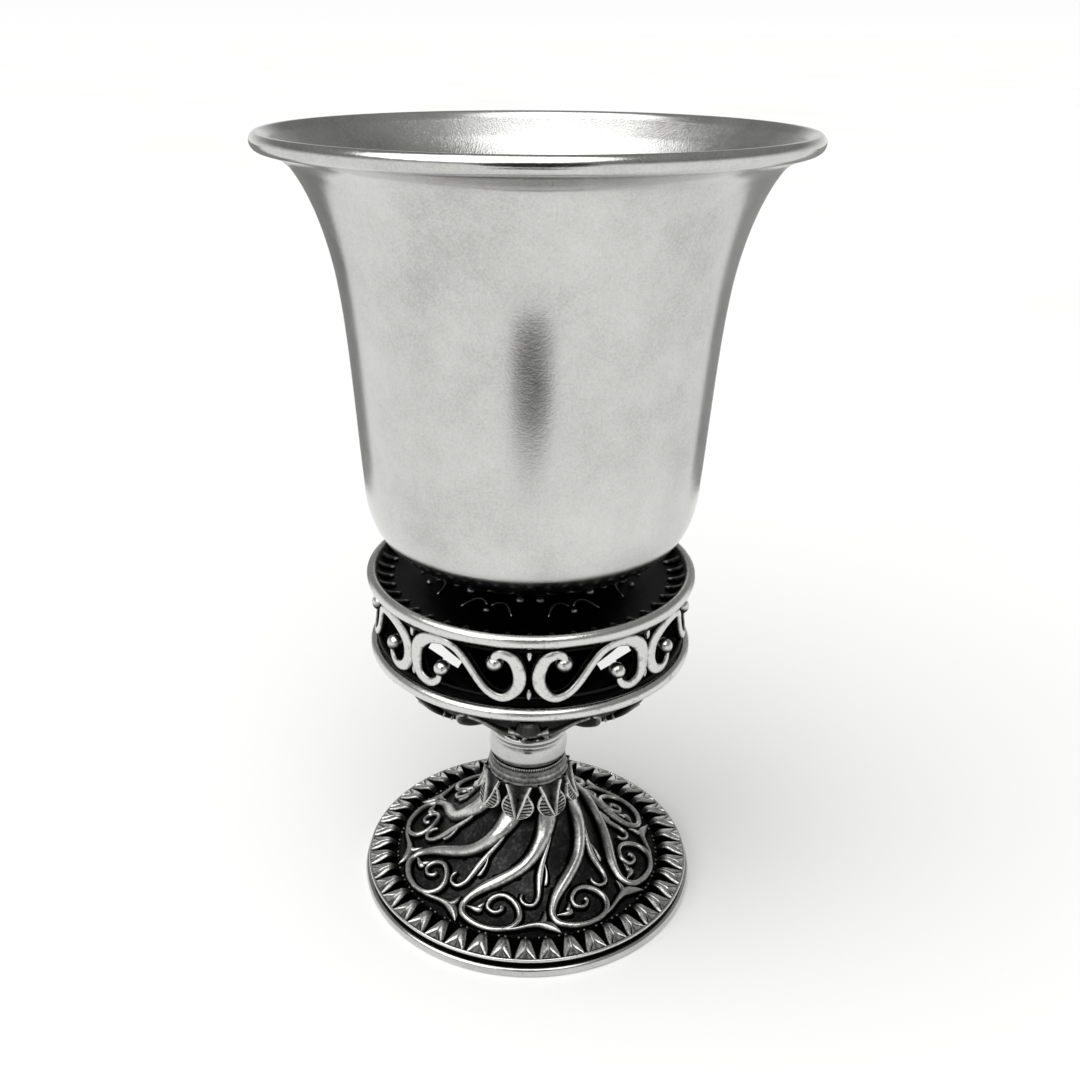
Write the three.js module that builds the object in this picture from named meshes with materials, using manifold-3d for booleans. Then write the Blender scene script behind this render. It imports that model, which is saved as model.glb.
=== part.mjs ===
// Kiddush cup in polished and oxidised silver: a flared bowl on a pierced gallery, a short
// turned barrel and a domed foot cast with eight swirling stems inside a toothed border.
// Millimetres, +Z up, origin at the centre of the underside. Angles are in degrees from the
// front (-Y), growing towards the right (+X).

import * as THREE from 'three';
import * as BufferGeometryUtils from 'three/addons/utils/BufferGeometryUtils.js';
import Module from 'manifold-3d';

const wasm = await Module();
wasm.setup();

// ---- Driving dimensions ----------------------------------------------------------------

const TURNED_SIDES = 32; // facets round the large turned forms
const DOME_SIDES = 24; // and round the carved dome
const BARREL_SIDES = 20;
const JOINT_GAP = 0.3; // soldered joints are modelled this far apart

const LIP_RADIUS = 42;
const LIP_TOP = 139.2;
const LIP_BEAD = 2.4; // height of the rolled edge
const FLARE_RADIUS = 36.6; // where the flare turns out into the shelf under the lip
const WALL_TOP_RADIUS = 30.8;
const WALL_FOOT_RADIUS = 28.7;
const WALL_FOOT = 86;
const BOWL_BOTTOM = 69.8;
const BOWL_WALL = 1;

const RING_RADIUS = 29.3; // the two half-round rings of the gallery
const TRAY_RING_TOP = 68.9;
const TRAY_RING_BOTTOM = 66.6;
const TRAY_FLOOR = 66.9;
const TRAY_UNDERSIDE = 65.3;
const SEAT_RADIUS = 14;
const CUP_RING_TOP = 55.2;
const CUP_RING_BOTTOM = 53;
const WAIST_RADIUS = 27.6; // the pierced band is drawn in between its rings
const BAND_EDGE_RADIUS = 28.2;
const BAND_THICKNESS = 1.6;
const HOOP_HEIGHT = 0.9;
const SCROLLS = 8;
const SCROLL_WIRE = 2.3;

const BARREL_RADIUS = 7.5;
const BARREL_TOP = 34.9;
const BARREL_BOTTOM = 28.4;

const SWIRLS = 8;
const FIRST_SWIRL = -13; // angle of the eye of the spiral nearest the front
const STEM_WIRE = 2.9;
const SPIRAL_WIRE = 1.7;
const DOME_REACH = 27; // the swirls end here and the toothed border begins
const DOME_RIM_HEIGHT = 3.1;
const DOME_RISE = 14.5; // height gained from the rim to the foot of the calyx
const DOME_TOP_RADIUS = 9.9;
const DOME_FALL = 7.2; // the dome drops by 1/e in this distance
const RELIEF_DEPTH = 1.1;
const TEETH = 44;
const NOSE_ANGLE = 1.2; // half the width of a tooth's nose
const BORDER_RADIUS = 32.7;
const BORDER_HEIGHT = 4.1;
const GROOVE_HEIGHT = 3; // floor between the teeth
const FOOT_BOTTOM = 2.2;

const PLATE_RADIUS = 33.4;
const PLATE_EDGE = 0.7; // rounding of the base plate's edge
const PLATE_THICKNESS = FOOT_BOTTOM - JOINT_GAP;

const polished = { color: 0xd4d4d0, roughness: 0.22, metalness: 1 };
const oxidised = { color: 0x8a8a86, roughness: 0.4, metalness: 1 };

// ---- Small tools -----------------------------------------------------------------------

const point = (x, y) => new THREE.Vector2(x, y);
const radians = THREE.MathUtils.degToRad;

// The same number of equal turns as there are repeats, in degrees.
const repeats = (count, first = 0) => Array.from({ length: count }, (_, i) => first + (360 / count) * i);

// A point at a radius, an angle from the front and a height.
function around(radius, angle, height) {
  return new THREE.Vector3(radius * Math.sin(radians(angle)), -radius * Math.cos(radians(angle)), height);
}

// The same point seen from above, for outlines.
function onPlan(radius, angle) {
  const place = around(radius, angle, 0);
  return point(place.x, place.y);
}

function signedVolume(position, index) {
  const [a, b, c] = [new THREE.Vector3(), new THREE.Vector3(), new THREE.Vector3()];
  let volume = 0;
  for (let i = 0; i < index.length; i += 3) {
    a.fromBufferAttribute(position, index[i]);
    b.fromBufferAttribute(position, index[i + 1]);
    c.fromBufferAttribute(position, index[i + 2]);
    volume += a.dot(b.cross(c)) / 6;
  }
  return volume;
}

// Welds a geometry into one closed skin facing out and makes it a solid that can be cut.
function solid(geometry) {
  const bare = geometry.clone();
  bare.deleteAttribute('normal');
  bare.deleteAttribute('uv');
  const merged = BufferGeometryUtils.mergeVertices(bare, 1e-4);
  const index = [];
  for (let i = 0; i < merged.index.count; i += 3) {
    const [a, b, c] = [0, 1, 2].map((corner) => merged.index.getX(i + corner));
    if (a !== b && b !== c && c !== a) index.push(a, b, c);
  }
  if (signedVolume(merged.attributes.position, index) < 0) index.reverse();
  const vertProperties = new Float32Array(merged.attributes.position.array);
  const triVerts = new Uint32Array(index);
  return new wasm.Manifold(new wasm.Mesh({ numProp: 3, vertProperties, triVerts }));
}

// Turns a profile of radius and height round the vertical axis.
function turned(profile, sides = TURNED_SIDES) {
  return solid(new THREE.LatheGeometry(profile, sides).rotateX(Math.PI / 2));
}

// A rod of a few flat sides that follows a smooth line through the stations.
function rod(stations, thickness, sides, steps) {
  const corners = repeats(sides, 180 / sides).map((angle) => onPlan(thickness / 2, angle));
  const extrudePath = new THREE.CatmullRomCurve3(stations, false, 'centripetal');
  const options = { steps, extrudePath, bevelEnabled: false };
  return solid(new THREE.ExtrudeGeometry(new THREE.Shape(corners), options));
}

// A flat outline raised straight up.
function raised(outline, bottom, top) {
  const options = { depth: top - bottom, bevelEnabled: false, curveSegments: 1 };
  return new THREE.ExtrudeGeometry(outline, options).translate(0, 0, bottom);
}

function joined(pieces) {
  return pieces.reduce((whole, piece) => whole.add(piece));
}

function mesh(name, whole, finish) {
  const { vertProperties, triVerts } = whole.getMesh();
  const geometry = new THREE.BufferGeometry();
  geometry.setAttribute('position', new THREE.BufferAttribute(vertProperties, 3));
  geometry.setIndex(new THREE.BufferAttribute(triVerts, 1));
  geometry.computeVertexNormals();
  const piece = new THREE.Mesh(geometry, new THREE.MeshStandardMaterial(finish));
  piece.name = name;
  return piece;
}

// ---- Bowl ------------------------------------------------------------------------------
// One spun silver sheet: rounded bottom, nearly straight wall, wide flare and a rolled lip.

// The outside, from the centre of the bottom to the underside of the lip.
function bowlOutline(bellySteps, flareSteps) {
  const bottom = point(0, BOWL_BOTTOM);
  const wallFoot = point(WALL_FOOT_RADIUS, WALL_FOOT);
  const wallTop = point(WALL_TOP_RADIUS, LIP_TOP - 21.6);
  const flareTop = point(FLARE_RADIUS, LIP_TOP - 4.7);
  const underLip = point(LIP_RADIUS - 0.9, LIP_TOP - LIP_BEAD);
  const belly = [bottom, point(20, BOWL_BOTTOM), point(28.5, BOWL_BOTTOM + 2.2), wallFoot];
  const wall = [wallFoot, point(29.4, 97), point(29.6, 109), wallTop];
  const flare = [wallTop, point(31.6, 123.5), point(33.6, 130.5), flareTop];
  const sampled = (points, steps) => new THREE.CubicBezierCurve(...points).getPoints(steps).slice(1);
  const upTo = [...sampled(belly, bellySteps), ...sampled(wall, 2), ...sampled(flare, flareSteps)];
  return [bottom, ...upTo, underLip];
}

// The same outline one wall thickness further in, seen along its normal at each point.
function bowlInside(outside) {
  return outside.map((here, i) => {
    const before = outside[Math.max(i - 1, 0)];
    const after = outside[Math.min(i + 1, outside.length - 1)];
    const along = after.clone().sub(before).normalize();
    const inward = i === 0 ? point(0, 1) : point(-along.y, along.x);
    return here.clone().addScaledVector(inward, BOWL_WALL);
  });
}

function makeBowl() {
  const lip = [
    point(LIP_RADIUS, LIP_TOP - 1),
    point(LIP_RADIUS - 0.35, LIP_TOP - 0.2),
    point(LIP_RADIUS - 1.2, LIP_TOP),
  ];
  return turned([...bowlOutline(5, 4), ...lip, ...bowlInside(bowlOutline(4, 2)).reverse()]);
}

// ---- Gallery ---------------------------------------------------------------------------
// A dished plate inside a half-round ring carries the bowl on a low seat. A pierced band of
// scrolls stands below it, on the ring of an openwork cup that gathers into the stem.

function halfRoundRing(bottom, top) {
  const middle = (bottom + top) / 2;
  return [
    point(RING_RADIUS - 0.6, bottom),
    point(RING_RADIUS, middle - 0.4),
    point(RING_RADIUS, middle + 0.4),
    point(RING_RADIUS - 0.5, top),
  ];
}

function makeTray() {
  const under = [
    point(0, TRAY_UNDERSIDE),
    point(RING_RADIUS - 3.9, TRAY_UNDERSIDE),
    point(RING_RADIUS - 3.1, TRAY_RING_BOTTOM),
  ];
  const dish = [
    point(RING_RADIUS - 1.2, TRAY_RING_TOP - 0.4),
    point(RING_RADIUS - 2.8, TRAY_FLOOR),
    point(SEAT_RADIUS + 3, TRAY_FLOOR),
    point(SEAT_RADIUS, BOWL_BOTTOM - JOINT_GAP - 0.3),
    point(0, BOWL_BOTTOM - JOINT_GAP),
  ];
  return turned([...under, ...halfRoundRing(TRAY_RING_BOTTOM, TRAY_RING_TOP), ...dish]);
}

const BAND_TOP = TRAY_RING_BOTTOM - JOINT_GAP;
const BAND_BOTTOM = CUP_RING_TOP + JOINT_GAP;

// Outer radius of the band, least at half its height.
function bandRadius(height) {
  const fromMiddle = (2 * height - BAND_TOP - BAND_BOTTOM) / (BAND_TOP - BAND_BOTTOM);
  return WAIST_RADIUS + (BAND_EDGE_RADIUS - WAIST_RADIUS) * fromMiddle ** 2;
}

// A lying S, as the angle from its left mirror line and the height above the band's foot.
const SCROLL_LINE = [
  [12.5, 7.1], [9.5, 8.6], [4.6, 7.6], [3.2, 5], [5.6, 2.4], [10.5, 1.4], [16.5, 3.4], [22.5, 6.2],
  [29, 9], [36, 9.6], [41.6, 8], [42.6, 4.8], [40.6, 2.1], [36, 1.4], [33, 3.4],
];

// Neighbouring scrolls are mirror images.
function scroll(start, index) {
  const span = 360 / SCROLLS;
  const stations = SCROLL_LINE.map(([angle, height]) => {
    const level = BAND_BOTTOM + height;
    const turn = index % 2 === 1 ? span - angle : angle;
    return around(bandRadius(level) - BAND_THICKNESS / 2, start + turn, level);
  });
  return rod(stations, SCROLL_WIRE, 4, SCROLL_LINE.length);
}

function bandHoop(bottom, top) {
  const inner = (height) => point(bandRadius(height) - BAND_THICKNESS, height);
  const outer = (height) => point(bandRadius(height), height);
  return turned([inner(bottom), outer(bottom), outer(top), inner(top), inner(bottom)]);
}

function makeScrollBand() {
  const hoops = [
    bandHoop(BAND_BOTTOM, BAND_BOTTOM + HOOP_HEIGHT),
    bandHoop(BAND_TOP - HOOP_HEIGHT, BAND_TOP),
  ];
  return joined([...hoops, ...repeats(SCROLLS).map(scroll)]);
}

const CUP_NECK = BARREL_TOP + JOINT_GAP;
const WINDOW_INNER = 12.6;
const WINDOW_OUTER = 24.6;

// The leaf-shaped window between two leaves of the openwork cup, cut straight down.
function cupWindow(angle) {
  const leaf = new THREE.Shape();
  leaf.moveTo(0, -WINDOW_INNER);
  leaf.quadraticCurveTo(3.6, -19, 2.4, 2 - WINDOW_OUTER);
  leaf.quadraticCurveTo(0, -WINDOW_OUTER, -2.4, 2 - WINDOW_OUTER);
  leaf.quadraticCurveTo(-3.6, -19, 0, -WINDOW_INNER);
  return solid(raised(leaf, CUP_NECK + 1, CUP_RING_TOP).rotateZ(radians(angle)));
}

// One leaf of the cup: a low rounded lump of metal lying along its slope.
function cupLeaf(angle) {
  const leaf = new THREE.SphereGeometry(0.5, 5, 3).scale(7.4, 3.4, 12);
  leaf.rotateX(radians(50)).translate(0, -20.6, CUP_RING_BOTTOM - 6.4);
  return solid(leaf.rotateZ(radians(angle)));
}

function makeOpenworkCup() {
  const under = [
    point(0, CUP_NECK),
    point(BARREL_RADIUS - 0.1, CUP_NECK),
    point(9.6, 38.4),
    point(14.4, 42.6),
    point(20.6, 46),
    point(25.6, 50.6),
  ];
  const within = [point(26.2, CUP_RING_TOP), point(20, 48), point(9, 41.6), point(0, 40)];
  const shell = turned([...under, ...halfRoundRing(CUP_RING_BOTTOM, CUP_RING_TOP), ...within]);
  const windows = joined(repeats(SCROLLS, 180 / SCROLLS).map(cupWindow));
  return joined([shell, ...repeats(SCROLLS).map(cupLeaf)]).subtract(windows);
}

// ---- Stem ------------------------------------------------------------------------------
// A short polished barrel with a raised ring at its top.

function makeBarrel() {
  const profile = [
    point(0, BARREL_BOTTOM),
    point(BARREL_RADIUS - 0.3, BARREL_BOTTOM),
    point(BARREL_RADIUS, BARREL_BOTTOM + 1.8),
    point(BARREL_RADIUS - 0.1, BARREL_TOP - 2.9),
    point(BARREL_RADIUS - 0.5, BARREL_TOP - 2),
    point(BARREL_RADIUS, BARREL_TOP - 1.5),
    point(BARREL_RADIUS, BARREL_TOP - 0.5),
    point(BARREL_RADIUS - 0.4, BARREL_TOP),
    point(0, BARREL_TOP),
  ];
  return turned(profile, BARREL_SIDES);
}

// ---- Foot ------------------------------------------------------------------------------
// One casting, hollow beneath: a leafy calyx, eight stems that swirl down a dome and curl
// into spirals, and a border of teeth that point inwards.

// Height of the tops of the relief at a radius.
function crest(radius) {
  return DOME_RIM_HEIGHT + DOME_RISE * Math.exp((DOME_TOP_RADIUS - radius) / DOME_FALL);
}

// Each line is a list of angles from the eye of the spiral and radii, from the calyx outwards.
const STEM_LINE = [[36, 9.4], [24, 11.8], [11, 14.1], [-5, 16.4], [-14, 18.6], [-18, 21]];
const SPIRAL_LINE = [
  [-17.6, 20.2], [-19, 23], [-12, 25.2], [-1, 25.8], [7.5, 24.6], [10, 22], [5.5, 19.6], [-2, 19],
  [-6.6, 20.6], [-3.6, 22.2], [1.6, 21.6],
];

// Places a line on the dome, sunk into it so that the rod grows out of the floor.
function onDome(line, turn, sink) {
  return line.map(([angle, radius]) => around(radius, turn + angle, crest(radius) - sink));
}

function swirl(turn) {
  const stem = rod(onDome(STEM_LINE, turn, 0.9), STEM_WIRE, 4, 4);
  return stem.add(rod(onDome(SPIRAL_LINE, turn, 0.6), SPIRAL_WIRE, 3, 14));
}

// A shield-shaped leaf of the calyx, leaning out over the start of a stem.
function petal(turn) {
  const shield = new THREE.Shape([
    point(0, 3.6), point(2.9, 0), point(2.4, -2.6), point(0, -3.4), point(-2.4, -2.6), point(-2.9, 0),
  ]);
  const leaf = raised(shield, 0, 1.8).rotateX(radians(76)).translate(0, -6.9, 20.9);
  return solid(leaf.rotateZ(radians(turn)));
}

// A ring whose inner edge is cut into teeth, each a narrow nose on a wide root.
function toothedBorder() {
  const teeth = repeats(TEETH).flatMap((angle) => [
    onPlan(DOME_REACH + 0.5, angle - NOSE_ANGLE),
    onPlan(DOME_REACH + 0.5, angle + NOSE_ANGLE),
    onPlan(BORDER_RADIUS - 1.1, angle + 180 / TEETH),
  ]);
  const outline = new THREE.Shape(repeats(TURNED_SIDES).map((angle) => onPlan(BORDER_RADIUS, angle)));
  outline.holes.push(new THREE.Path(teeth.reverse()));
  return solid(raised(outline, GROOVE_HEIGHT, BORDER_HEIGHT));
}

function footBody() {
  const hollow = [point(0, 20), point(8, 14), point(14, 8), point(23, FOOT_BOTTOM)];
  const rim = [
    point(BORDER_RADIUS, FOOT_BOTTOM),
    point(BORDER_RADIUS, GROOVE_HEIGHT),
    point(DOME_REACH + 0.6, GROOVE_HEIGHT),
  ];
  const floor = [DOME_REACH, 17.6, 13, 10].map((radius) => point(radius, crest(radius) - RELIEF_DEPTH));
  const neckTop = BARREL_BOTTOM - JOINT_GAP;
  const neck = [point(8.4, 19.6), point(8, 23.4), point(7, 25), point(7, neckTop), point(0, neckTop)];
  return turned([...hollow, ...rim, ...floor, ...neck], DOME_SIDES);
}

function makeFoot() {
  const turns = repeats(SWIRLS, FIRST_SWIRL);
  return joined([footBody(), toothedBorder(), ...turns.map(petal), ...turns.map(swirl)]);
}

// ---- Base plate ------------------------------------------------------------------------
// A flat disc with a rounded edge closes the foot from below.

function makePlate() {
  return turned([
    point(0, 0),
    point(PLATE_RADIUS - PLATE_EDGE, 0),
    point(PLATE_RADIUS, PLATE_EDGE),
    point(PLATE_RADIUS, PLATE_THICKNESS - PLATE_EDGE),
    point(PLATE_RADIUS - PLATE_EDGE, PLATE_THICKNESS),
    point(0, PLATE_THICKNESS),
  ]);
}

const cup = new THREE.Group();
cup.add(
  mesh('bowl', makeBowl(), polished),
  mesh('gallery_tray', makeTray(), oxidised),
  mesh('scroll_band', makeScrollBand(), oxidised),
  mesh('openwork_cup', makeOpenworkCup(), oxidised),
  mesh('stem_barrel', makeBarrel(), polished),
  mesh('foot', makeFoot(), oxidised),
  mesh('base_plate', makePlate(), polished),
);

export default cup;
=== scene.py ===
# Kiddush cup: a polished silver bowl on a pierced, oxidised gallery, a short barrel and a
# domed foot cast with swirling stems. Metres, +Z up, angles in degrees from the front (-Y).

import math

import bmesh
import bpy
from mathutils import Matrix, Vector


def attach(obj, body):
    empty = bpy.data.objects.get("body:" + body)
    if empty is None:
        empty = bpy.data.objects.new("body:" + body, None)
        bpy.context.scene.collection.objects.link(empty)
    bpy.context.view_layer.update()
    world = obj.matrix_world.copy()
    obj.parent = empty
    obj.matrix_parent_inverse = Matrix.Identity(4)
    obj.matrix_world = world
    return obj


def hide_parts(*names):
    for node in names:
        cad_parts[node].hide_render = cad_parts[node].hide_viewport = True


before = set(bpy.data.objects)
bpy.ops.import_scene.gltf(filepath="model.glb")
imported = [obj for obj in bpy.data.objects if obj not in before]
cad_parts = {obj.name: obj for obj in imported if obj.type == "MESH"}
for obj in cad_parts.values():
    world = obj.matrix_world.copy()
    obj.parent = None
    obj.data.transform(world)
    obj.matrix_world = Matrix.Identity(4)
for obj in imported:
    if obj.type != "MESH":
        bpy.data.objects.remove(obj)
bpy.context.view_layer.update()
MM = 0.001


# ---- Studio ------------------------------------------------------------------------------
# The cup stands on a pale table in soft white light, looked down on from the front. Two black
# cards near the camera and two grey ones behind the cup give the silver something to mirror.

def linear(colour):
    """An sRGB hex colour as linear red, green, blue and alpha."""
    parts = [int(colour[i:i + 2], 16) / 255 for i in (1, 3, 5)]
    return [p / 12.92 if p <= 0.04045 else ((p + 0.055) / 1.055) ** 2.4 for p in parts] + [1]


def add(tree, kind, links=(), **settings):
    """Adds a node, sets its properties or its sockets' values, and links sockets to it."""
    node = tree.nodes.new(kind)
    for name, value in settings.items():
        if hasattr(node, name):
            setattr(node, name, value)
        else:
            node.inputs[name.replace("_", " ")].default_value = value
    for source, target in links:
        tree.links.new(source, node.inputs[target])
    return node


def new_material(name):
    material = bpy.data.materials.new(name)
    material.use_nodes = True
    material.node_tree.nodes.clear()
    return material, material.node_tree


def add_colours(tree, factor, *stops):
    """A colour ramp over a factor, from stops of position and hex colour."""
    ramp = add(tree, "ShaderNodeValToRGB", [(factor, "Fac")])
    for number, (position, colour) in enumerate(stops):
        elements = ramp.color_ramp.elements
        stop = elements[number] if number < 2 else elements.new(position)
        stop.position = position
        stop.color = linear(colour)
    return ramp.outputs["Color"]


def stand(name, bm, material):
    """Puts a staging mesh, such as the floor, in the scene."""
    mesh = bpy.data.meshes.new(name)
    bm.to_mesh(mesh)
    bm.free()
    mesh.materials.append(material)
    thing = bpy.data.objects.new(name, mesh)
    bpy.context.collection.objects.link(thing)
    return thing


def white_paint():
    """Matt white paint on the table top, with the faintest mottling."""
    material, tree = new_material("matt white paint")
    place = add(tree, "ShaderNodeTexCoord").outputs["Object"]
    mottle = add(tree, "ShaderNodeTexNoise", [(place, "Vector")], Scale=3, Detail=2)
    colour = add_colours(tree, mottle.outputs["Fac"], (0.3, "#f6f6f5"), (0.7, "#fbfbfa"))
    shade = add(tree, "ShaderNodeBsdfPrincipled", [(colour, "Base Color")], Roughness=0.8)
    add(tree, "ShaderNodeOutputMaterial", [(shade.outputs["BSDF"], "Surface")])
    return material


def card_stock(name, dark, light):
    """Matt coloured card, with the fine fibre that paper has."""
    material, tree = new_material(name)
    fibre = add(tree, "ShaderNodeTexNoise", Scale=400)
    colour = add_colours(tree, fibre.outputs["Fac"], (0.3, dark), (0.7, light))
    shade = add(tree, "ShaderNodeBsdfPrincipled", [(colour, "Base Color")], Roughness=0.9)
    add(tree, "ShaderNodeOutputMaterial", [(shade.outputs["BSDF"], "Surface")])
    return material


def make_floor():
    """A table top that runs on past the horizon."""
    half_width = 60
    bm = bmesh.new()
    bmesh.ops.create_grid(bm, x_segments=1, y_segments=1, size=half_width)
    stand("table_top", bm, white_paint())


def make_card(name, material, place, width, height, corners=32):
    """An upright card that faces the cup and shows only in reflections.

    Four corners make a rectangle, and many make an oval.
    """
    bm = bmesh.new()
    bmesh.ops.create_circle(bm, cap_ends=True, segments=corners, radius=0.5)
    if corners == 4:
        square_up = Matrix.Rotation(math.radians(45), 3, "Z")
        bmesh.ops.rotate(bm, cent=(0, 0, 0), matrix=square_up, verts=bm.verts)
        bmesh.ops.scale(bm, vec=(math.sqrt(2), math.sqrt(2), 1), verts=bm.verts)
    turn = Vector((place[0], place[1], 0)).to_track_quat("Z", "Y").to_matrix().to_4x4()
    stretch = Matrix.Diagonal((width, height, 1, 1))
    bmesh.ops.transform(bm, matrix=Matrix.Translation(place) @ turn @ stretch, verts=bm.verts)
    card = stand(name, bm, material)
    card.visible_camera = False
    card.visible_diffuse = False
    card.visible_shadow = False


def make_sky():
    """White light from low all round, and greyer overhead, so that the silver has some tone."""
    world = bpy.data.worlds.new("white room")
    bpy.context.scene.world = world
    world.use_nodes = True
    tree = world.node_tree
    tree.nodes.clear()
    way = add(tree, "ShaderNodeTexCoord").outputs["Generated"]
    height = add(tree, "ShaderNodeSeparateXYZ", [(way, "Vector")]).outputs["Z"]
    colour = add_colours(
        tree, height, (0, "#ffffff"), (0.12, "#f0f0f0"), (0.35, "#868686"), (1, "#949494"),
    )
    light = add(tree, "ShaderNodeBackground", [(colour, "Color")], Strength=1.0)
    add(tree, "ShaderNodeOutputWorld", [(light.outputs["Background"], "Surface")])


def make_sun(place, strength, spread):
    """A very wide, soft overhead light."""
    lamp = bpy.data.lights.new("overhead_softbox", "SUN")
    lamp.energy = strength
    lamp.angle = math.radians(spread)
    holder = bpy.data.objects.new("overhead_softbox", lamp)
    holder.matrix_world = (-Vector(place)).to_track_quat("-Z", "Y").to_matrix().to_4x4()
    bpy.context.collection.objects.link(holder)


def make_camera():
    """Looks down on the cup from the front, with a small shift that frames it."""
    place = (0, -0.17967, 0.15158)
    lens = bpy.data.cameras.new("camera")
    lens.lens = 36.63
    lens.shift_x, lens.shift_y = 0.0259, 0.1
    lens.clip_start = 0.01
    camera = bpy.data.objects.new("camera", lens)
    pan, tilt, roll = math.radians(1.048), math.radians(90 - 29.303), math.radians(0.264)
    turn = Matrix.Rotation(pan, 4, "Z") @ Matrix.Rotation(tilt, 4, "X") @ Matrix.Rotation(roll, 4, "Z")
    camera.matrix_world = Matrix.Translation(place) @ turn
    bpy.context.collection.objects.link(camera)
    bpy.context.scene.camera = camera


make_camera()
make_floor()
make_sky()
make_sun((-0.3, -0.45, 1), 2.9, 76)
black = card_stock("black card", "#0a0a0a", "#101010")
grey = card_stock("grey card", "#8e8e8e", "#969696")
make_card("lens_card", black, (0, -0.2, 0.17), 0.15, 0.15)
make_card("hand_card", black, (-0.003, -0.21, 0.046), 0.1, 0.055)
make_card("left_card", grey, (-0.14, 0.17, 0.05), 0.12, 0.16, 4)
make_card("right_card", grey, (0.14, 0.17, 0.05), 0.12, 0.16, 4)
bpy.context.scene.view_settings.view_transform = "Standard"


# ---- Base plate --------------------------------------------------------------------------
# A flat disc of sterling silver with a rounded edge, soldered under the foot and polished.
# Its edge stands a little out from the border of teeth.

def bezier(start, pull_start, pull_end, end, steps):
    """Points along a curve of radius and height, without its first."""
    a, b, c, d = (Vector(point) for point in (start, pull_start, pull_end, end))
    shares = [(i + 1) / steps for i in range(steps)]
    return [
        a * (1 - t) ** 3 + b * 3 * t * (1 - t) ** 2 + c * 3 * t * t * (1 - t) + d * t ** 3
        for t in shares
    ]


def turn_profile(profile, steps=192):
    """Spins a profile of radius and height in mm round the upright axis."""
    bm = bmesh.new()
    line = [bm.verts.new((0, -max(radius, 0) * MM, height * MM)) for radius, height in profile]
    edges = [bm.edges.new(pair) for pair in zip(line, line[1:])]
    bmesh.ops.spin(
        bm, geom=line + edges, cent=(0, 0, 0), axis=(0, 0, 1), dvec=(0, 0, 0),
        angle=2 * math.pi, steps=steps, use_merge=True,
    )
    bmesh.ops.remove_doubles(bm, verts=bm.verts, dist=1e-6)
    bmesh.ops.recalc_face_normals(bm, faces=bm.faces)
    return bm


def finish_piece(name, bm, material, slot, *nodes):
    """Makes a bmesh a smooth piece that rides with the cup and stands for CAD nodes."""
    mesh = bpy.data.meshes.new(name)
    bm.to_mesh(mesh)
    bm.free()
    mesh.materials.append(material)
    mesh.shade_smooth()
    piece = bpy.data.objects.new(name, mesh)
    bpy.context.collection.objects.link(piece)
    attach(piece, "root")
    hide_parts(*nodes)
    return piece


def buffed_silver():
    """Sterling silver, buffed and then handled: a soft mirror with clouds of fine hairlines.

    Where the attribute "satin" is 1 it is brushed to a coarser, sparkling grain.
    The clouds are about 26 mm across, 38 to the metre. Real hairlines are hundredths of a
    millimetre wide, too fine to show, so the flecks are drawn at about 0.4 mm.
    """
    material, tree = new_material("sterling silver, buffed")
    place = add(tree, "ShaderNodeTexCoord").outputs["Object"]
    satin = add(tree, "ShaderNodeAttribute", attribute_name="satin").outputs["Fac"]
    haze = add(tree, "ShaderNodeTexNoise", [(place, "Vector")], Scale=38, Detail=8, Roughness=0.7)
    flecks = add(tree, "ShaderNodeTexNoise", [(place, "Vector")], Scale=2800, Detail=2, Roughness=0.8)
    tone = add(
        tree, "ShaderNodeMix",
        [(haze.outputs["Fac"], "A"), (flecks.outputs["Fac"], "B")], Factor=0.35,
    )
    colour = add_colours(
        tree, tone.outputs["Result"], (0.38, "#b0b0ae"), (0.5, "#c4c4c2"), (0.62, "#d0d0ce"),
    )
    dull = add(
        tree, "ShaderNodeMapRange", [(haze.outputs["Fac"], "Value")],
        From_Min=0.35, From_Max=0.7, To_Min=0.13, To_Max=0.24,
    )
    gloss = add(
        tree, "ShaderNodeMath",
        [(satin, 0), (dull.outputs["Result"], 2)], operation="MULTIPLY_ADD",
    )
    gloss.inputs[1].default_value = 0.06
    depth = add(tree, "ShaderNodeMath", [(satin, 0)], operation="MULTIPLY_ADD")
    depth.inputs[1].default_value, depth.inputs[2].default_value = 0.6, 0.1
    bump = add(
        tree, "ShaderNodeBump", [(flecks.outputs["Fac"], "Height"), (depth.outputs[0], "Strength")],
        Distance=0.0001,
    )
    shade = add(
        tree, "ShaderNodeBsdfPrincipled",
        [(colour, "Base Color"), (gloss.outputs[0], "Roughness"), (bump.outputs["Normal"], "Normal")],
        Metallic=1,
    )
    add(tree, "ShaderNodeOutputMaterial", [(shade.outputs["BSDF"], "Surface")])
    return material


def plate_profile():
    radius, thickness, edge = 33.4, 1.9, 0.9
    return [
        Vector((0, 0)),
        Vector((radius - edge, 0)),
        *bezier((radius - edge, 0), (radius, 0), (radius, 0.3), (radius, 0.95), 6),
        *bezier((radius, 0.95), (radius, 1.6), (radius - 0.2, thickness), (radius - edge, thickness), 6),
        Vector((0, thickness)),
    ]


silver = buffed_silver()
finish_piece("base_plate", turn_profile(plate_profile()), silver, "polished_silver", "base_plate")


# ---- Foot --------------------------------------------------------------------------------
# A silver casting, blackened all over and rubbed bright on its high parts, with painted shade on
# the flanks of its relief. Eight stems swirl from a leafy calyx down a dome, curl into spirals, and
# a border of teeth points inwards.

SWIRLS = 8
EIGHTH = 360 / SWIRLS
FIRST_SWIRL = -13


def around(radius, angle, height):
    """A point in metres from a radius, an angle from the front and a height in mm and degrees."""
    turn = math.radians(angle)
    return Vector((radius * math.sin(turn), -radius * math.cos(turn), height)) * MM


def crest(radius):
    """Height of the tops of the relief on the dome."""
    return 3.1 + 14.5 * math.exp((9.9 - radius) / 7.2)


def dome_floor(radius):
    """Height of the black ground between the relief."""
    return crest(radius) - 1.15


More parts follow.
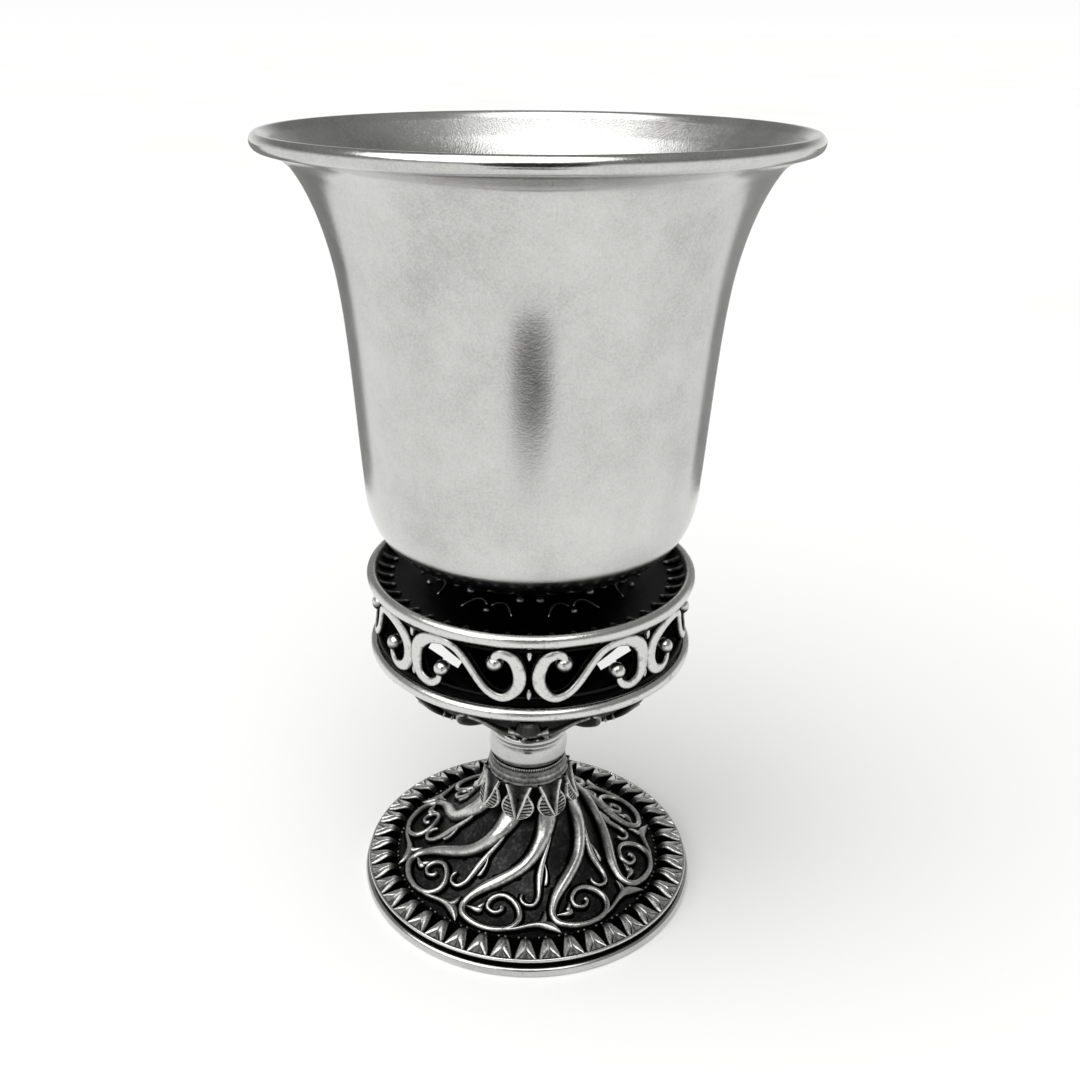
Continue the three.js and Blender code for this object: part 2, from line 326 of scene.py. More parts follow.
def smooth_line(stations, steps):
    """A smooth line through stations of any number of values."""
    rows = [Vector(s) for s in stations]
    rows = [2 * rows[0] - rows[1], *rows, 2 * rows[-1] - rows[-2]]
    line = []
    for a, b, c, d in zip(rows, rows[1:], rows[2:], rows[3:]):
        for number in range(steps):
            t = number / steps
            line.append(
                0.5 * (2 * b + (c - a) * t + (2 * a - 5 * b + 4 * c - d) * t ** 2
                       + (3 * b - a - 3 * c + d) * t ** 3)
            )
    return [*line, rows[-2]]


def sweep(bm, places, widths, heights, ups, sides=10, squareness=1.0, rubbed=1.0):
    """Draws an oval along places. Its top is marked as rubbed bright, its flanks as dark: oxide, and painted
    shade.
    """
    wear_and_shade = bm.verts.layers.float.get("wear_and_shade") or bm.verts.layers.float.new("wear_and_shade")
    frames = []
    for number, place in enumerate(places):
        before, after = places[max(number - 1, 0)], places[min(number + 1, len(places) - 1)]
        along = (after - before).normalized()
        across = along.cross(ups[number]).normalized()
        up = across.cross(along)
        width, height = max(widths[number], 0.12) * MM / 2, max(heights[number], 0.08) * MM
        basis = Matrix((across * width, up * height, along * MM)).transposed().to_4x4()
        frames.append(Matrix.Translation(place) @ basis)
    ring = bmesh.ops.create_circle(bm, cap_ends=True, segments=sides, radius=1)["verts"]
    for vert in ring:
        vert.co.x = math.copysign(abs(vert.co.x) ** squareness, vert.co.x)
        vert.co.y = math.copysign(abs(vert.co.y) ** squareness, vert.co.y)
        # Painted shade: the flanks go dark as the section turns downwards, on top of the oxide there; the
        # top is rubbed metal.
        vert[wear_and_shade] = min(max(1.9 * vert.co.y - 0.85, 0), 1) * rubbed
    bmesh.ops.transform(bm, matrix=frames[0], verts=ring)
    edges = [edge for edge in bm.edges if edge.verts[0] in ring and edge.verts[1] in ring]
    for last, here in zip(frames, frames[1:]):
        made = bmesh.ops.extrude_edge_only(bm, edges=edges)["geom"]
        ring = [item for item in made if isinstance(item, bmesh.types.BMVert)]
        edges = [item for item in made if isinstance(item, bmesh.types.BMEdge)]
        bmesh.ops.transform(bm, matrix=here @ last.inverted(), verts=ring)
    bmesh.ops.contextual_create(bm, geom=edges)


def on_dome(stations):
    """Places and upward directions of stations of angle and radius on the floor of the dome."""
    places = [around(s[1], s[0], dome_floor(s[1])) for s in stations]
    ups = []
    for s in stations:
        slope = (dome_floor(s[1] + 0.1) - dome_floor(s[1] - 0.1)) / 0.2
        ups.append(around(-slope, s[0], 1).normalized())
    return places, ups


def draw_on_dome(bm, stations, steps):
    """Draws stations of angle, radius, width and height, on a low black skirt of painted shade that outlines
    them.
    """
    shade_skirt_margin, shade_skirt_height = 1.1, 0.06
    line = smooth_line(stations, steps)
    places, ups = on_dome(line)
    sweep(bm, places, [s[2] for s in line], [s[3] for s in line], ups)
    # Painted shade: a flat black ribbon, a little wider than the stroke, round its foot on the floor.
    shade_skirt_widths = [s[2] + shade_skirt_margin for s in line]
    sweep(bm, places, shade_skirt_widths, [shade_skirt_height] * len(line), ups, 6, rubbed=0)


# angle from the eye of the spiral, radius, width, height
ARM = [
    (42, 8.5, 4.6, 0.4), (37, 9.4, 4.5, 0.8), (32, 10.3, 4.0, 1.4), (27, 11.2, 3.5, 1.9),
    (20, 12.5, 3.1, 2.0), (11, 14.1, 2.9, 1.9), (-3, 16.3, 2.9, 1.8),
    (-12, 18.2, 2.6, 1.6), (-17, 20.2, 2.0, 1.4), (-19, 22.4, 1.7, 1.25), (-16.6, 24.4, 1.6, 1.2),
    (-9, 25.6, 1.5, 1.15), (-1, 25.8, 1.4, 1.1), (6, 25, 1.4, 1.1), (9.8, 23, 1.4, 1.15),
    (9, 20.9, 1.4, 1.2),
    (4.6, 19.3, 1.3, 1.2), (-1.5, 18.9, 1.2, 1.2), (-6.4, 20, 1.1, 1.2), (-6.6, 21.7, 1.0, 1.2),
    (-2.4, 22.4, 0.9, 1.15), (0.6, 21.6, 1.0, 1.1), (0.2, 20.9, 1.1, 1.0),
]
BRANCH = [
    (42, 9.6, 0.5, 0.9), (34, 11.4, 0.9, 1.1), (27, 13.2, 1.3, 1.2), (22.6, 15.2, 1.7, 1.2),
    (21, 17.2, 1.3, 1.2), (20, 18.9, 1.1, 1.2), (16.8, 20.3, 1.0, 1.2), (12.5, 20.2, 0.9, 1.2),
    (10, 19.2, 0.8, 1.1), (10.6, 18.2, 0.6, 0.9),
]
BARB = [(26.5, 13.6, 0.3, 0.9), (27.5, 15, 0.5, 1.0), (26, 16.6, 1.0, 1.0), (24.4, 17.1, 0.2, 0.8)]
LEAF = [
    (-17, 22.8, 0.2, 0.9), (-14.6, 22.7, 0.8, 1.0), (-12.4, 22.7, 1.3, 1.05),
    (-10.2, 22.5, 1.7, 1.0), (-8.8, 22.2, 0.5, 0.8),
]
LEAF_BARB = [(-11, 22.2, 1.2, 1.0), (-9.6, 21.4, 0.8, 1.0), (-9, 20.7, 0.15, 0.8)]
SPRIG = [
    (0, 25.9, 0.6, 1.0), (8, 25.2, 0.9, 1.1), (14, 24.4, 1.1, 1.15), (19, 24.1, 1.7, 1.15),
    (23, 24.5, 2.3, 1.1), (26, 25.6, 1.4, 1.0), (27.6, 26.6, 0.2, 0.8),
]
SPRIG_BARB = [(20, 24.2, 1.6, 1.1), (21.6, 23.2, 1.3, 1.05), (22.4, 22.2, 0.7, 1.0), (22.6, 21.4, 0.15, 0.8)]


def draw_swirls(bm):
    """Draws one swirl and repeats it round the dome."""
    draw_on_dome(bm, ARM, 4)
    for stations in (BRANCH, BARB, LEAF, LEAF_BARB, SPRIG, SPRIG_BARB):
        draw_on_dome(bm, stations, 3)
    swirl = bm.verts[:] + bm.edges[:] + bm.faces[:]
    first_turn = Matrix.Rotation(math.radians(FIRST_SWIRL), 3, "Z")
    bmesh.ops.rotate(bm, cent=(0, 0, 0), matrix=first_turn, verts=bm.verts)
    bmesh.ops.spin(
        bm, geom=swirl, cent=(0, 0, 0), axis=(0, 0, 1), dvec=(0, 0, 0),
        angle=2 * math.pi * (SWIRLS - 1) / SWIRLS, steps=SWIRLS - 1, use_duplicate=True,
    )


def add_turned(bm, profile, steps=192):
    """Spins a profile of radius, height and wear into a bmesh that already holds some pieces."""
    wear_and_shade = bm.verts.layers.float.get("wear_and_shade") or bm.verts.layers.float.new("wear_and_shade")
    line = []
    for radius, height, wear_and_shade_level in profile:
        vert = bm.verts.new((0, -max(radius, 0) * MM, height * MM))
        vert[wear_and_shade] = wear_and_shade_level
        line.append(vert)
    edges = [bm.edges.new(pair) for pair in zip(line, line[1:])]
    bmesh.ops.spin(
        bm, geom=line + edges, cent=(0, 0, 0), axis=(0, 0, 1), dvec=(0, 0, 0),
        angle=2 * math.pi, steps=steps, use_merge=True,
    )


def crimp(bm, bottom, top):
    """Marks fine upright ticks round the neck between two heights."""
    tick_width = 1.875
    wear_and_shade = bm.verts.layers.float["wear_and_shade"]
    for vert in bm.verts:
        if bottom * MM < vert.co.z < top * MM:
            turn = math.degrees(math.atan2(vert.co.x, vert.co.y))
            vert[wear_and_shade] = round(turn / tick_width) % 2


def foot_body_profile():
    """Radius, height and wear, from inside the hollow foot round its rim and up to its neck."""
    hollow = [(0, 20, 0.2), (8, 14, 0.2), (14, 8, 0.2), (23, 2.2, 0.2)]
    rim = [
        (32.1, 2.2, 0), (32.2, 2.6, 0), (32.5, 2.9, 0.1), (32.7, 3.2, 1.0), (32.65, 3.5, 1.0),
        (32.45, 3.68, 1.0), (32.2, 3.6, 0.9), (32.0, 3.3, 0.1), (31.9, 2.95, 0),
        (27.6, 3.0, 0), (27.0, 3.5, 0),
    ]
    floor_radii = (26.2, 24, 22, 20, 18, 16, 14, 12.5, 11, 10)
    floor = [(radius, dome_floor(radius), 0.22) for radius in floor_radii]
    neck = [
        (9.3, 18.2, 0), (8.7, 20.5, 0), (8.15, 23.2, 0), (8.05, 24.3, 0.1), (7.9, 24.9, 0.55),
        (7.75, 25.2, 0.3), (7.7, 25.6, 0.4), (7.6, 26.0, 0.6), (7.5, 26.3, 0.35), (7.3, 26.9, 0.45),
        (7.15, 27.4, 0.2), (7.3, 27.7, 0.5), (7.3, 28.05, 0.5), (7.2, 28.1, 0.1), (0, 28.1, 0.2),
    ]
    return [*hollow, *rim, *floor, *neck]


# radius, half width in degrees, height of the top, share where the engraved V runs
TOOTH = [
    (32.25, 4.08, 3.7, 0.66), (31.6, 4.0, 3.85, 0.46), (31.0, 3.75, 4.0, 0.24), (30.4, 3.4, 4.15, 0.05),
    (29.8, 2.95, 4.35, 0.05), (29.1, 2.4, 4.55, 0.05), (28.5, 2.0, 4.6, 0.05), (27.9, 1.7, 4.4, 0.05),
    (27.3, 1.3, 3.95, 0.05), (26.9, 0.7, 3.4, 0.05),
]


def draw_teeth(bm, count=44):
    """Teeth of the border: rounded noses that rise inwards, with a V engraved in each root."""
    wear_and_shade = bm.verts.layers.float["wear_and_shade"]
    for number in range(count):
        middle = number * 360 / count
        last = None
        for place, (radius, half, top, groove) in enumerate(TOOTH):
            cut = place < 3
            nose = 1 if radius > 28.7 else 0.6 if radius > 28.2 else 0.25
            half_row = [
                (1.0, 2.95, 0.0), (0.95, top - 0.4, 0.15), (0.78, top - 0.05, 0.9),
                (groove + 0.12, top, 0.8), (groove, top - 0.35 * cut, 0.75 - 0.75 * cut),
                (max(groove - 0.12, 0.01), top + 0.05, 0.95),
            ]
            other_half = [(-share, height, wear_and_shade_level) for share, height, wear_and_shade_level in half_row[::-1]]
            row = []
            for share, height, wear_and_shade_level in [*half_row, (0, top + 0.08, 0.95), *other_half]:
                vert = bm.verts.new(around(radius, middle + share * half, height))
                vert[wear_and_shade] = wear_and_shade_level * nose
                row.append(vert)
            if last:
                for a, b, c, d in zip(last, last[1:], row[1:], row):
                    bm.faces.new((a, b, c, d))
            last = row
        bm.faces.new(last[::-1])


def draw_grains(bm, count=132, radius=26.7):
    """A ring of tiny cast grains where the dome meets the border."""
    wear_and_shade = bm.verts.layers.float["wear_and_shade"]
    for number in range(count):
        spot = around(radius, number * 360 / count, 3.45)
        grain = bmesh.ops.create_icosphere(
            bm, subdivisions=1, radius=0.3 * MM, matrix=Matrix.Translation(spot),
        )["verts"]
        for vert in grain:
            # Two grains in three have lighter upper halves: rubbed tops with a painted glint; every third
            # stays dark.
            vert[wear_and_shade] = 0.15 + 0.35 * (vert.co.z > spot.z) * (number % 3 != 1)


# share of the way down, half width, half spread of the V, radius, height
PETAL = [
    (0.0, 2.6, 2.3, 7.9, 24.6), (0.2, 2.3, 1.8, 8.0, 23.4), (0.35, 2.1, 1.4, 8.2, 22.4),
    (0.5, 2.75, 1.05, 8.5, 21.4), (0.65, 3.15, 0.7, 8.85, 20.4), (0.8, 3.0, 0.4, 9.2, 19.4),
    (0.92, 2.3, 0.15, 9.5, 18.6), (1.0, 0.9, 0.05, 9.7, 18.1),
]


def draw_petals(bm):
    """Shield-shaped leaves of the calyx: a V of two ridges, and hatching towards the rim."""
    wear_and_shade = bm.verts.layers.float["wear_and_shade"]
    for number in range(SWIRLS):
        middle = FIRST_SWIRL + 0.6 + number * 360 / SWIRLS
        last = None
        for place, (share, half, spread, radius, height) in enumerate(smooth_line(PETAL, 3)):
            cut = place % 2 * (0.4 < share < 0.97)
            hatched = max(half - 0.3, spread + 0.3)
            columns = [
                (half + 0.1, -1.2, 0), (half, 0.45, 0.75), (hatched, 0.6, 0.9),
                (hatched - 0.1, 0.55 - 0.15 * cut, 0.75 - 0.75 * cut),
                (spread + 0.35, 0.5 - 0.15 * cut, 0.75 - 0.75 * cut), (spread + 0.2, 0.75, 0.9),
                (spread, 0.8, 1.0),
                (max(spread - 0.35, 0.02), 0.35, 0.3), (0, 0.15, 0.15),
            ]
            if share < 0.4:
                columns[2:5] = [(half, 0.5, 0.75)] * 3
            both = columns + [(-across, rise, wear_and_shade_level) for across, rise, wear_and_shade_level in columns[-2::-1]]
            row = []
            for across, rise, wear_and_shade_level in both:
                inside = max(1 - abs(across) / half, 0) * min((1 - share) / 0.4, 1)
                slant = -0.7 * inside * (share > 0.4)
                turn = middle - math.degrees(across / radius)
                vert = bm.verts.new(around(radius + rise, turn, height + 0.3 * rise + slant))
                vert[wear_and_shade] = wear_and_shade_level
                row.append(vert)
            if last:
                for a, b, c, d in zip(last, last[1:], row[1:], row):
                    bm.faces.new((a, b, c, d))
            last = row
        bm.faces.new(last)


def oxidised_silver():
    """Sterling silver dipped in liver of sulphur, then rubbed back: black low, bright high.

    The attribute says how far it is rubbed, and also carries painted shade on the flanks of the
    relief and painted glints on some tips. The patches are about 2.4 mm across, 420 to the metre.
    The casting's real grain is under 0.1 mm, so it is drawn at about 0.6 mm.
    """
    material, tree = new_material("sterling silver, oxidised and rubbed, with painted shade")
    place = add(tree, "ShaderNodeTexCoord").outputs["Object"]
    wear_and_shade = add(tree, "ShaderNodeAttribute", attribute_name="wear_and_shade").outputs["Fac"]
    cloud = add(tree, "ShaderNodeTexNoise", [(place, "Vector")], Scale=420, Detail=5, Roughness=0.65)
    stipple = add(tree, "ShaderNodeTexNoise", [(place, "Vector")], Scale=1500, Detail=2)
    mixed = add(
        tree, "ShaderNodeMath",
        [(cloud.outputs["Fac"], 0), (stipple.outputs["Fac"], 1)], operation="ADD",
    )
    spread = add(tree, "ShaderNodeMath", [(mixed.outputs[0], 0)], operation="MULTIPLY_ADD")
    spread.inputs[1].default_value, spread.inputs[2].default_value = 0.9, -0.9
    patchy = add(tree, "ShaderNodeMath", [(spread.outputs[0], 0), (wear_and_shade, 1)], operation="MULTIPLY")
    # This level mixes rubbed wear with painted shade and painted glints, and sets colour and gloss.
    wear_and_shade_level = add(tree, "ShaderNodeMath", [(wear_and_shade, 0), (patchy.outputs[0], 1)], operation="ADD", use_clamp=True)
    colour = add_colours(
        tree, wear_and_shade_level.outputs[0], (0.05, "#050505"), (0.22, "#282828"), (0.5, "#7c7c7a"), (0.9, "#d2d2d0"),
    )
    gloss = add(
        tree, "ShaderNodeMapRange", [(wear_and_shade_level.outputs[0], "Value")], To_Min=0.5, To_Max=0.24,
    )
    grain = add(tree, "ShaderNodeTexNoise", [(place, "Vector")], Scale=1800, Detail=3)
    bump = add(tree, "ShaderNodeBump", [(grain.outputs["Fac"], "Height")], Strength=0.25, Distance=0.0001)
    shade = add(
        tree, "ShaderNodeBsdfPrincipled",
        [(colour, "Base Color"), (gloss.outputs["Result"], "Roughness"), (bump.outputs["Normal"], "Normal")],
        Metallic=1,
    )
    add(tree, "ShaderNodeOutputMaterial", [(shade.outputs["BSDF"], "Surface")])
    return material


def make_foot():
    bm = bmesh.new()
    draw_swirls(bm)
    add_turned(bm, foot_body_profile())
    draw_teeth(bm)
    draw_grains(bm)
    draw_petals(bm)
    crimp(bm, 27.6, 28.08)
    bmesh.ops.remove_doubles(bm, verts=bm.verts, dist=1e-6)
    bmesh.ops.recalc_face_normals(bm, faces=bm.faces)
    return bm


blackened = oxidised_silver()
finish_piece("foot", make_foot(), blackened, "oxidised_silver", "foot")


# ---- Barrel ------------------------------------------------------------------------------
# A short tube of sterling silver turned with a groove and a raised ring at its top, soldered
# between the foot and the gallery and buffed.

def barrel_profile():
    return [
        Vector((0, 28.4)),
        Vector((7.15, 28.4)),
        *bezier((7.15, 28.4), (7.45, 28.6), (7.55, 29.4), (7.55, 30.4), 8),
        *bezier((7.55, 30.4), (7.55, 31.4), (7.35, 32.1), (7.0, 32.6), 8),
        *bezier((7.0, 32.6), (6.9, 32.8), (6.95, 33.0), (7.15, 33.2), 4),
        *bezier((7.15, 33.2), (7.6, 33.5), (7.6, 34.2), (7.3, 34.5), 8),
        *bezier((7.3, 34.5), (7.1, 34.7), (7.0, 34.9), (6.8, 34.9), 3),
        Vector((0, 34.9)),
    ]


finish_piece("stem_barrel", turn_profile(barrel_profile(), 96), silver, "polished_silver", "stem_barrel")


# ---- Openwork cup ------------------------------------------------------------------------
# A casting that gathers the gallery into the stem: a half-round ring, eight leaves with
# leaf-shaped windows between them and a collar of small petals. Blackened and rubbed.

def half_round(bottom, top, inner):
    """The bright ring: radius, height and wear from its lower to its upper inner edge."""
    middle = (bottom + top) / 2
    return [
        (28.2, bottom, 0.5), (28.75, bottom + 0.05, 0.9), (29.15, middle - 0.6, 1), (29.3, middle - 0.1, 1),
        (29.25, middle + 0.4, 1), (28.95, top - 0.3, 1), (28.5, top, 1), (28.1, top - 0.05, 1),
        (inner, top - 0.35, 0.1),
    ]


def draw_cup_shell(bm):
    """The ring, and the shell under it as an outer and an inner sheet."""
    add_turned(bm, [(28.2, 53.05, 0.1), *half_round(53, 55.2, 27.6), (27.2, 54.6, 0), (26.4, 53.6, 0)])
    under = [
        (7.4, 35.2), (7.9, 36.6), (8.5, 38.2), (9.3, 39.8), (11, 41.2), (14.4, 42.9),
        (17.4, 44.3), (20.6, 46), (23.4, 48.2), (25.6, 50.6), (26.8, 52.4), (28.2, 53.05),
    ]
    within = [
        (26.4, 53.6), (25.4, 52.2), (23, 50.2), (20, 48), (17, 46.2), (14, 44.6),
        (11.4, 43.2), (9, 41.6), (5, 40.4), (0, 40),
    ]
    add_turned(bm, [(radius, height, 0.12) for radius, height in under])
    add_turned(bm, [(radius, height, 0.0) for radius, height in within])


def in_window(point):
    """True where one of the eight leaf-shaped windows opens."""
    start, end, length, half_width = 12.6, 24.6, 12, 3.3
    radius = math.hypot(point.x, point.y) / MM
    angle = math.degrees(math.atan2(point.x, -point.y)) % EIGHTH - EIGHTH / 2
    if not start < radius < end:
        return False
    along = (radius - start) / length
    half = half_width * math.sin(math.pi * along ** 0.8) ** 0.7
    return abs(math.radians(angle) * radius) < half


def draw_leaf_line(bm, stations, rise, rubbed, lean=(0.6, -0.8)):
    """Draws stations of angle, radius, height and width on the underside of the cup.

    Its top faces the way that lean gives, outwards and upwards.
    """
    line = smooth_line(stations, 3)
    places = [around(s[1], s[0], s[2]) for s in line]
    ups = [around(lean[0], s[0], lean[1]) for s in line]
    sweep(bm, places, [s[3] for s in line], [rise] * len(line), ups, 10, rubbed=rubbed)


def draw_cup_leaf(bm, middle):
    """A leaf that fans out to the ring, with its edges and veins."""
    leaf = [
        (middle, 10.2, 40.2, 0.3), (middle, 12, 41.2, 1.8), (middle, 14.5, 42.4, 2.6),
        (middle, 18, 44.2, 3.8), (middle, 21, 46, 4.6), (middle, 23.8, 48.4, 4.4),
        (middle, 26.4, 51.8, 2.6),
    ]
    draw_leaf_line(bm, leaf, 1.0, 0.35)
    for side in (-1, 1):
        edge = [
            (middle + side * 2, 11.6, 40.3, 0.5), (middle + side * 7, 14.2, 41.8, 1.0),
            (middle + side * 10, 18, 43.9, 1.3), (middle + side * 12.5, 22, 46.8, 1.3),
            (middle + side * 17, 25, 50.2, 1.1), (middle + side * 21.5, 27, 52.4, 0.7),
        ]
        draw_leaf_line(bm, edge, 0.9, 0.8)
        for share, reach in ((0.3, 2.2), (0.5, 3.0), (0.7, 3.2)):
            radius, height = 14 + 11 * share, 41.8 + 8.2 * share
            vein = [
                (middle, radius - 1.2, height - 0.9, 0.3),
                (middle + side * reach * 1.4, radius + 0.4, height + 0.2, 0.7),
                (middle + side * reach * 2.4, radius + 1.8, height + 1.6, 0.3),
            ]
            draw_leaf_line(bm, vein, 1.7, 0.9)


def draw_collar_petal(bm, middle):
    """The two edges of a small petal that stands against the stem."""
    for side in (-1, 1):
        petal = [
            (middle + side * 5, 7.5, 35.3, 0.7), (middle + side * 10, 7.95, 36.4, 1.2),
            (middle + side * 14, 8.6, 38, 1.7), (middle + side * 15.5, 9.5, 39.7, 2.0),
            (middle + side * 15.5, 10.8, 40.9, 1.6),
        ]
        draw_leaf_line(bm, petal, 0.55, 1.0, lean=(0.95, -0.3))


def make_openwork_cup():
    first_petal = -12.4
    bm = bmesh.new()
    draw_cup_shell(bm)
    open_faces = [face for face in bm.faces if in_window(face.calc_center_median())]
    bmesh.ops.delete(bm, geom=open_faces, context="FACES")
    for number in range(SWIRLS):
        draw_cup_leaf(bm, number * EIGHTH)
    for number in range(SWIRLS):
        draw_collar_petal(bm, number * EIGHTH + first_petal)
    bmesh.ops.remove_doubles(bm, verts=bm.verts, dist=1e-6)
    bmesh.ops.recalc_face_normals(bm, faces=bm.faces)
    return bm


finish_piece("openwork_cup", make_openwork_cup(), blackened, "oxidised_silver", "openwork_cup")


# ---- Scroll band -------------------------------------------------------------------------
# A pierced strip of cast silver bent into a slightly waisted hoop: eight lying S scrolls, in
# mirrored pairs, that end in round knobs. Black inside and between, rubbed bright on its face.

BAND_BOTTOM, BAND_TOP = 55.5, 66.3
BAND_THICKNESS = 1.6


def band_radius(height):
    """Outer radius of the band, least at half its height."""
    from_middle = (2 * height - BAND_TOP - BAND_BOTTOM) / (BAND_TOP - BAND_BOTTOM)
    return 27.6 + 0.6 * from_middle ** 2


# angle from the mirror line, height above the foot of the band, width
SCROLL = [
    (12, 7.8, 0.9), (11.4, 9, 1.4), (9.2, 9.6, 1.8), (5.4, 8.6, 2.2), (3.2, 5.6, 2.4),
    (4.2, 3.1, 2.2), (8.5, 1.5, 1.7), (13.5, 2.2, 1.5), (17.6, 4.2, 1.5), (21.4, 6.9, 1.5),
    (25, 9.1, 1.5), (29.6, 10.1, 1.6), (36, 9.7, 2.2), (41.6, 7.5, 2.7), (42.9, 4.4, 2.6),
    (41, 2.1, 2.2), (36.6, 1.3, 1.8), (33, 2.1, 1.4), (31.8, 3.8, 0.8),
]
# angle and height of the knob at each end
KNOBS = [(11.8, 7.4), (32.0, 4.2)]
KNOB_RADIUS = 1.45


def draw_scroll(bm, start, mirrored):
    """One lying S, flat-faced, with a ball at each end."""
    def place(angle, height, depth=0.4):
        level = BAND_BOTTOM + height
        turn = EIGHTH - angle if mirrored else angle
        return around(band_radius(level) - depth, start + turn, level)

    line = smooth_line(SCROLL, 5)
    places = [place(angle, height) for angle, height, width in line]
    ups = [Vector((spot.x, spot.y, 0)).normalized() for spot in places]
    sweep(bm, places, [width for angle, height, width in line], [0.9] * len(line), ups, 14, 0.6)
    wear_and_shade = bm.verts.layers.float["wear_and_shade"]
    for angle, height in KNOBS:
        spot = place(angle, height)
        ball = bmesh.ops.create_uvsphere(
            bm, u_segments=16, v_segments=10, radius=KNOB_RADIUS * MM,
            matrix=Matrix.Translation(spot),
        )["verts"]
        for vert in ball:
            vert[wear_and_shade] = min(max((vert.co - spot).dot(spot.normalized()) / MM * 1.2 + 0.2, 0), 1)


def make_scroll_band():
    bm = bmesh.new()
    hoop = 0.9
    for number in range(SWIRLS):
        draw_scroll(bm, number * EIGHTH, number % 2 == 1)
    for bottom, top in ((BAND_BOTTOM, BAND_BOTTOM + hoop), (BAND_TOP - hoop, BAND_TOP)):
        inner = [(band_radius(height) - BAND_THICKNESS, height, 0) for height in (bottom, top)]
        outer = [(band_radius(height) - 0.2, height, 0.05) for height in (top, bottom)]
        add_turned(bm, [*inner, *outer, inner[0]])
    wear_and_shade = bm.verts.layers.float["wear_and_shade"]
    for number in range(SWIRLS):
        for height in (BAND_BOTTOM + 1.9, BAND_TOP - 1.5):
            spot = around(band_radius(height) - 0.4, number * EIGHTH, height)
            stretch = Matrix.Translation(spot) @ Matrix.Diagonal((0.45, 0.45, 1.1, 1))
            bead = bmesh.ops.create_uvsphere(
                bm, u_segments=8, v_segments=6, radius=MM, matrix=stretch,
            )["verts"]
            for vert in bead:
                vert[wear_and_shade] = 0.8
    bmesh.ops.remove_doubles(bm, verts=bm.verts, dist=1e-6)
    bmesh.ops.recalc_face_normals(bm, faces=bm.faces)
    return bm


finish_piece("scroll_band", make_scroll_band(), blackened, "oxidised_silver", "scroll_band")


# ---- Gallery tray ------------------------------------------------------------------------
# A cast dish with a half-round rim closes the band from above and carries the bowl on a low
# seat. Its relief of tongues, beads and arcs is almost wholly black, with a few bright tips and
# bead tops, which are rubbed metal with painted glints.

def seat_height(radius):
    """The dish rises from its flat floor to the seat under the bowl."""
    return 66.9 + 2.4 * min(max((21 - radius) / 7, 0), 1)


def draw_tray_relief(bm):
    """Tongues round the rim, bright at their tips as rubbed metal with painted glints, and beads and thin
    arcs round the seat.
    """
    tongue_count, glint_tip_radius, rise = 44, 25.1, 0.35
    upright = Vector((0, 0, 1))
    wear_and_shade = bm.verts.layers.float["wear_and_shade"]
    for number in range(tongue_count):
        middle = number * 360 / tongue_count
        tongue = [
            (middle, 24.5, 67.0, 0.7), (middle, 25.4, 67.1, 1.3),
            (middle, 26.6, 67.4, 1.8), (middle, 27.6, 68, 1.8),
        ]
        line = smooth_line(tongue, 3)
        places = [around(s[1], s[0], s[2]) for s in line]
        sweep(bm, places, [s[3] for s in line], [rise] * len(line), [upright] * len(line), 8)
    # Painted glints: the tongues are dimmed outside the tip radius, so only their inner tips stay bright.
    for vert in bm.verts:
        vert[wear_and_shade] *= 0.35 + 0.65 * (math.hypot(vert.co.x, vert.co.y) < glint_tip_radius * MM)
    for number in range(SWIRLS):
        middle = number * EIGHTH
        beads = ((middle - 6, 16, 0.75), (middle + 6, 16, 0.75), (middle + EIGHTH / 2, 19, 0.6))
        for angle, radius, size in beads:
            spot = around(radius, angle, seat_height(radius))
            bead = bmesh.ops.create_uvsphere(
                bm, u_segments=10, v_segments=6, radius=size * MM, matrix=Matrix.Translation(spot),
            )["verts"]
            # Each bead is bright on its upper half and black below: rubbed metal, with a painted highlight
            # on top and painted shade underneath.
            for vert in bead:
                vert[wear_and_shade] = min(max((vert.co.z - spot.z) / MM * 1.6, 0), 1)
        for side in (-1, 1):
            arc = [
                (middle + side * 9, 19.6, 0.3), (middle + side * 11, 18, 0.5),
                (middle + side * 14, 17, 0.6), (middle + side * 18, 17, 0.5),
                (middle + side * 21, 17.8, 0.3),
            ]
            line = smooth_line(arc, 3)
            places = [around(s[1], s[0], seat_height(s[1])) for s in line]
            sweep(bm, places, [s[2] for s in line], [rise] * len(line), [upright] * len(line), 6)


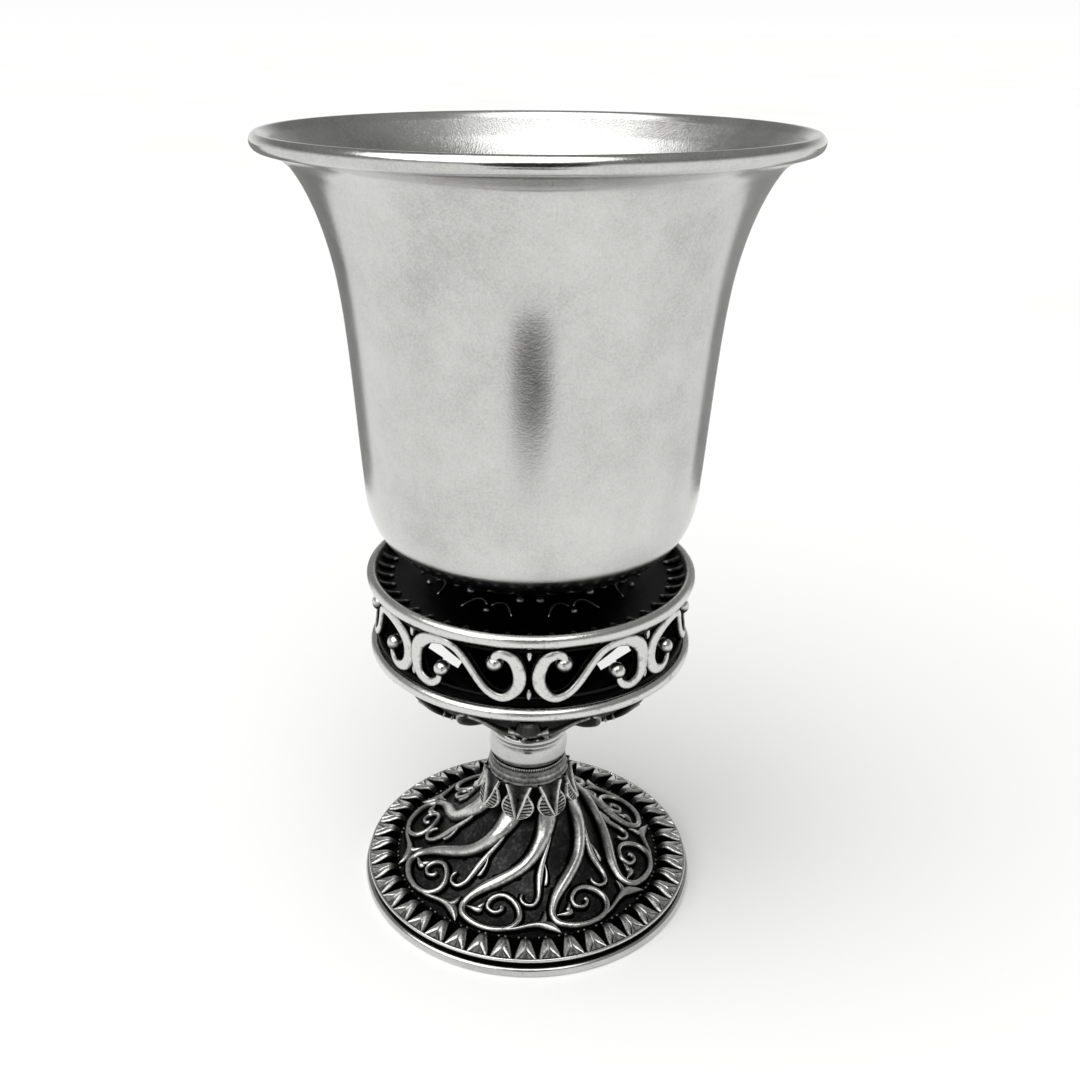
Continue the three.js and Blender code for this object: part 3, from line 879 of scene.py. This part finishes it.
def make_tray():
    bm = bmesh.new()
    bm.verts.layers.float.new("wear_and_shade")
    draw_tray_relief(bm)
    under = [(0, 65.3, 0), (25.4, 65.3, 0), (26.2, 66.3, 0), (27.4, 66.5, 0.1)]
    dish = [
        (27.4, 67.9, 0), (26.6, 67.1, 0), (25.6, 66.9, 0), (21.5, 66.9, 0), (21, 67, 0),
        (14.5, 69.1, 0), (14, 69.3, 0), (0, 69.5, 0),
    ]
    add_turned(bm, [*under, *half_round(66.6, 68.9, 27.6), *dish])
    bmesh.ops.remove_doubles(bm, verts=bm.verts, dist=1e-6)
    bmesh.ops.recalc_face_normals(bm, faces=bm.faces)
    return bm


finish_piece("gallery_tray", make_tray(), blackened, "oxidised_silver", "gallery_tray")


# ---- Bowl --------------------------------------------------------------------------------
# One sheet of sterling silver, spun over a former: rounded bottom, near-straight wall, wide
# flare and an edge rolled over into a lip. Buffed, then dulled by years of handling.

def bowl_profile():
    """Outside from the bottom up, over the lip, and down the inside one wall further in."""
    bottom, wall_foot, wall_top = (0, 69.8), (28.7, 86), (30.8, 117.6)
    flare_top, under_lip = (36.6, 134.5), (40.9, 136.7)
    outside = [
        Vector(bottom),
        *bezier(bottom, (20, 69.8), (28.5, 72), wall_foot, 24),
        *bezier(wall_foot, (29.4, 97), (29.6, 109), wall_top, 12),
        *bezier(wall_top, (31.6, 123.5), (33.6, 130.5), flare_top, 16),
        *bezier(flare_top, (37.4, 135.5), (39.2, 136.4), under_lip, 8),
    ]
    lip = [
        *bezier(under_lip, (42, 136.9), (42.3, 138.2), (41.6, 138.85), 8),
        *bezier((41.6, 138.85), (41.3, 139.2), (40.9, 139.25), (40.5, 139.05), 4),
        *bezier((40.5, 139.05), (40.2, 138.9), (39.8, 138.4), (39.2, 137.9), 4),
    ]
    wall = 1.0
    # The rolled lip takes the place of the wall along the last eight points of the flare.
    inside = []
    for before, here, after in zip(outside[:-8], outside[1:-7], outside[2:-6]):
        along = (after - before).normalized()
        inside.append(here + wall * Vector((-along.y, along.x)))
    return [*outside, *lip, *reversed(inside), Vector((0, 69.8 + wall))]


def make_bowl():
    """The bowl, with its inner face below the lip marked as satin."""
    inside_lip = 39.4
    bm = turn_profile(bowl_profile(), 256)
    satin = bm.verts.layers.float.new("satin")
    for vert in bm.verts:
        radius = math.hypot(vert.co.x, vert.co.y)
        outward = vert.normal.x * vert.co.x + vert.normal.y * vert.co.y
        vert[satin] = 1.0 if outward < 0 and radius < inside_lip * MM else 0.0
    return bm


finish_piece("bowl", make_bowl(), silver, "polished_silver", "bowl")
